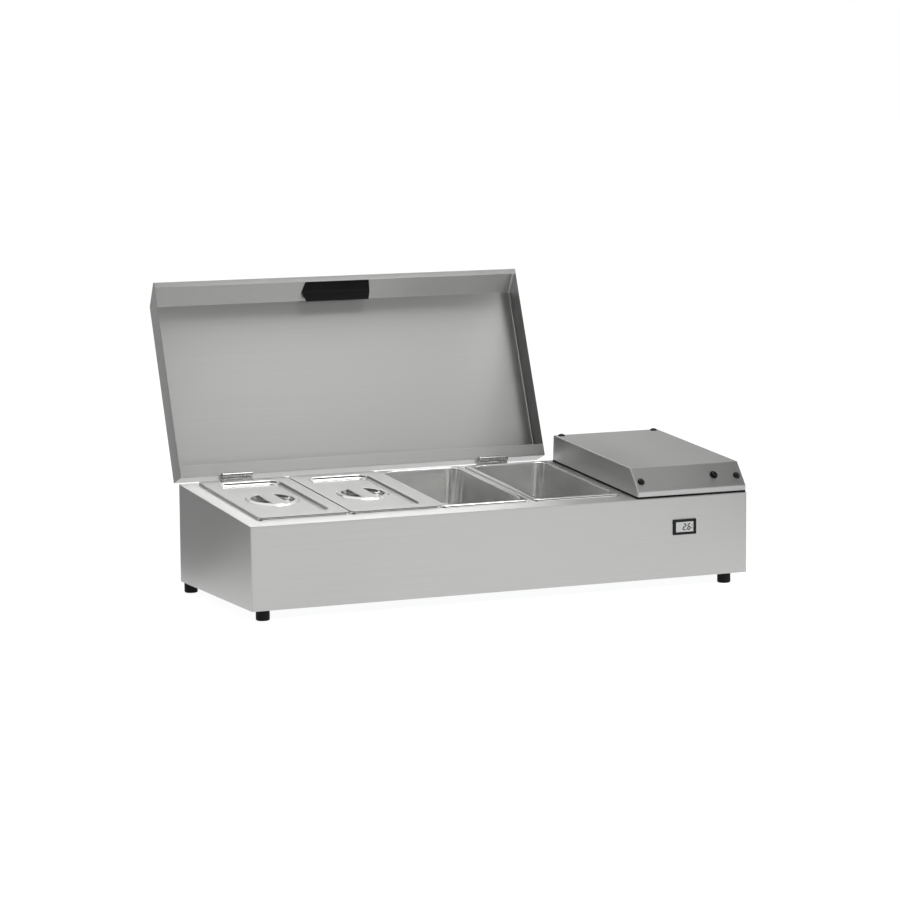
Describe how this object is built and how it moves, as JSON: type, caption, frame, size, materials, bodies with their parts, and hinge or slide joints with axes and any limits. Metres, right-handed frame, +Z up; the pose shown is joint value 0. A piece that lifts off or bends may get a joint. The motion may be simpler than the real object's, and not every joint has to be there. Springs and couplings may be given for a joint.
{
  "type": "refrigerated prep well",
  "caption": "Countertop refrigerated prep well in sheet steel: gastronorm pans in a sloping deck, a hinged lid, and a raised refrigeration cover at one end.",
  "frame": {"origin": "on the bench, under the middle of the overall width and depth with the lid open", "axes": "+X to the right as the user faces it, +Y to the rear, +Z up"},
  "size_m": [0.99, 0.54, 0.5676],
  "materials": {
    "stainless_sheet": "satin",
    "stainless_pressing": "satin",
    "galvanised_sheet": "matte",
    "polished_hinge_steel": "polished",
    "screw_steel": "satin",
    "black_rubber": "matte",
    "black_plastic": "satin",
    "black_gloss_plastic": "gloss",
    "display_grey": "gloss",
    "insulating_foam": "matte",
    "copper_tube": "satin",
    "black_enamel": "gloss",
    "condenser_aluminium": "satin"
  },
  "bodies": {
    "cabinet": {"outer_casing": "stainless_sheet", "top_deck": "stainless_sheet", "unit_cover": "stainless_sheet", "rear_panel": "stainless_sheet", "well_liner": "stainless_pressing", "pan_support_bars": "stainless_pressing", "temperature_probe": "stainless_pressing", "base_tray": "galvanised_sheet", "bulkhead": "galvanised_sheet", "cover_brackets": "galvanised_sheet", "fan_bracket": "galvanised_sheet", "hinge_left_fixed_leaf": "polished_hinge_steel", "hinge_left_pin": "polished_hinge_steel", "hinge_right_fixed_leaf": "polished_hinge_steel", "hinge_right_pin": "polished_hinge_steel", "panel_screws": "screw_steel", "foot_screws": "screw_steel", "hinge_screws_body": "screw_steel", "foot_front_left": "black_rubber", "foot_front_right": "black_rubber", "foot_rear_left": "black_rubber", "foot_rear_right": "black_rubber", "compressor_grommets": "black_rubber", "cover_seal": "black_rubber", "display_bezel": "black_plastic", "display_module": "black_plastic", "button_body": "black_plastic", "cover_fixings": "black_plastic", "relay_box": "black_plastic", "terminal_box": "black_plastic", "cable_gland": "black_plastic", "display_glass": "display_grey", "insulation": "insulating_foam", "evaporator_coil": "copper_tube", "suction_pipe": "copper_tube", "discharge_pipe": "copper_tube", "liquid_pipe": "copper_tube", "capillary_pipe": "copper_tube", "filter_drier": "copper_tube", "compressor": "black_enamel", "fan_motor": "black_enamel", "condenser": "condenser_aluminium"},
    "lid": {"lid_panel": "stainless_sheet", "lid_end_left": "stainless_sheet", "lid_end_right": "stainless_sheet", "lid_handle": "black_plastic", "hinge_left_lid_leaf": "polished_hinge_steel", "hinge_right_lid_leaf": "polished_hinge_steel", "hinge_screws_lid": "screw_steel"},
    "pan_1": {"gn_pan_1": "stainless_pressing"},
    "pan_2": {"gn_pan_2": "stainless_pressing"},
    "pan_3": {"gn_pan_3": "stainless_pressing"},
    "pan_4": {"gn_pan_4": "stainless_pressing"},
    "lid_of_pan_1": {"pan_lid_1": "stainless_pressing"},
    "lid_of_pan_2": {"pan_lid_2": "stainless_pressing"},
    "button": {"power_button": "black_gloss_plastic"},
    "fan": {"fan_blade": "black_plastic"}
  },
  "joints": [
    {"name": "lid_hinge", "type": "hinge", "parent": "cabinet", "child": "lid", "pos_m": [0, 0.11073, 0.2115], "axis": [-1, 0, 0], "range_deg": [-116.69, 0]},
    {"name": "pan_1_lift", "type": "slide", "parent": "cabinet", "child": "pan_1", "axis": [0, -0.083, 0.9965], "range_m": [0, 0.3]},
    {"name": "pan_2_lift", "type": "slide", "parent": "cabinet", "child": "pan_2", "axis": [0, -0.083, 0.9965], "range_m": [0, 0.3]},
    {"name": "pan_3_lift", "type": "slide", "parent": "cabinet", "child": "pan_3", "axis": [0, -0.083, 0.9965], "range_m": [0, 0.3]},
    {"name": "pan_4_lift", "type": "slide", "parent": "cabinet", "child": "pan_4", "axis": [0, -0.083, 0.9965], "range_m": [0, 0.3]},
    {"name": "pan_lid_1_lift", "type": "slide", "parent": "pan_1", "child": "lid_of_pan_1", "axis": [0, -0.083, 0.9965], "range_m": [0, 0.15]},
    {"name": "pan_lid_2_lift", "type": "slide", "parent": "pan_2", "child": "lid_of_pan_2", "axis": [0, -0.083, 0.9965], "range_m": [0, 0.15]},
    {"name": "button_press", "type": "slide", "parent": "cabinet", "child": "button", "axis": [0, -0.7745, 0.6325], "range_m": [-0.002, 0], "stiffness_N_per_m": 800},
    {"name": "fan_spin", "type": "hinge", "parent": "cabinet", "child": "fan", "pos_m": [0.38775, 0.02998, 0.114], "axis": [0, 1, 0], "continuous": true}
  ]
}
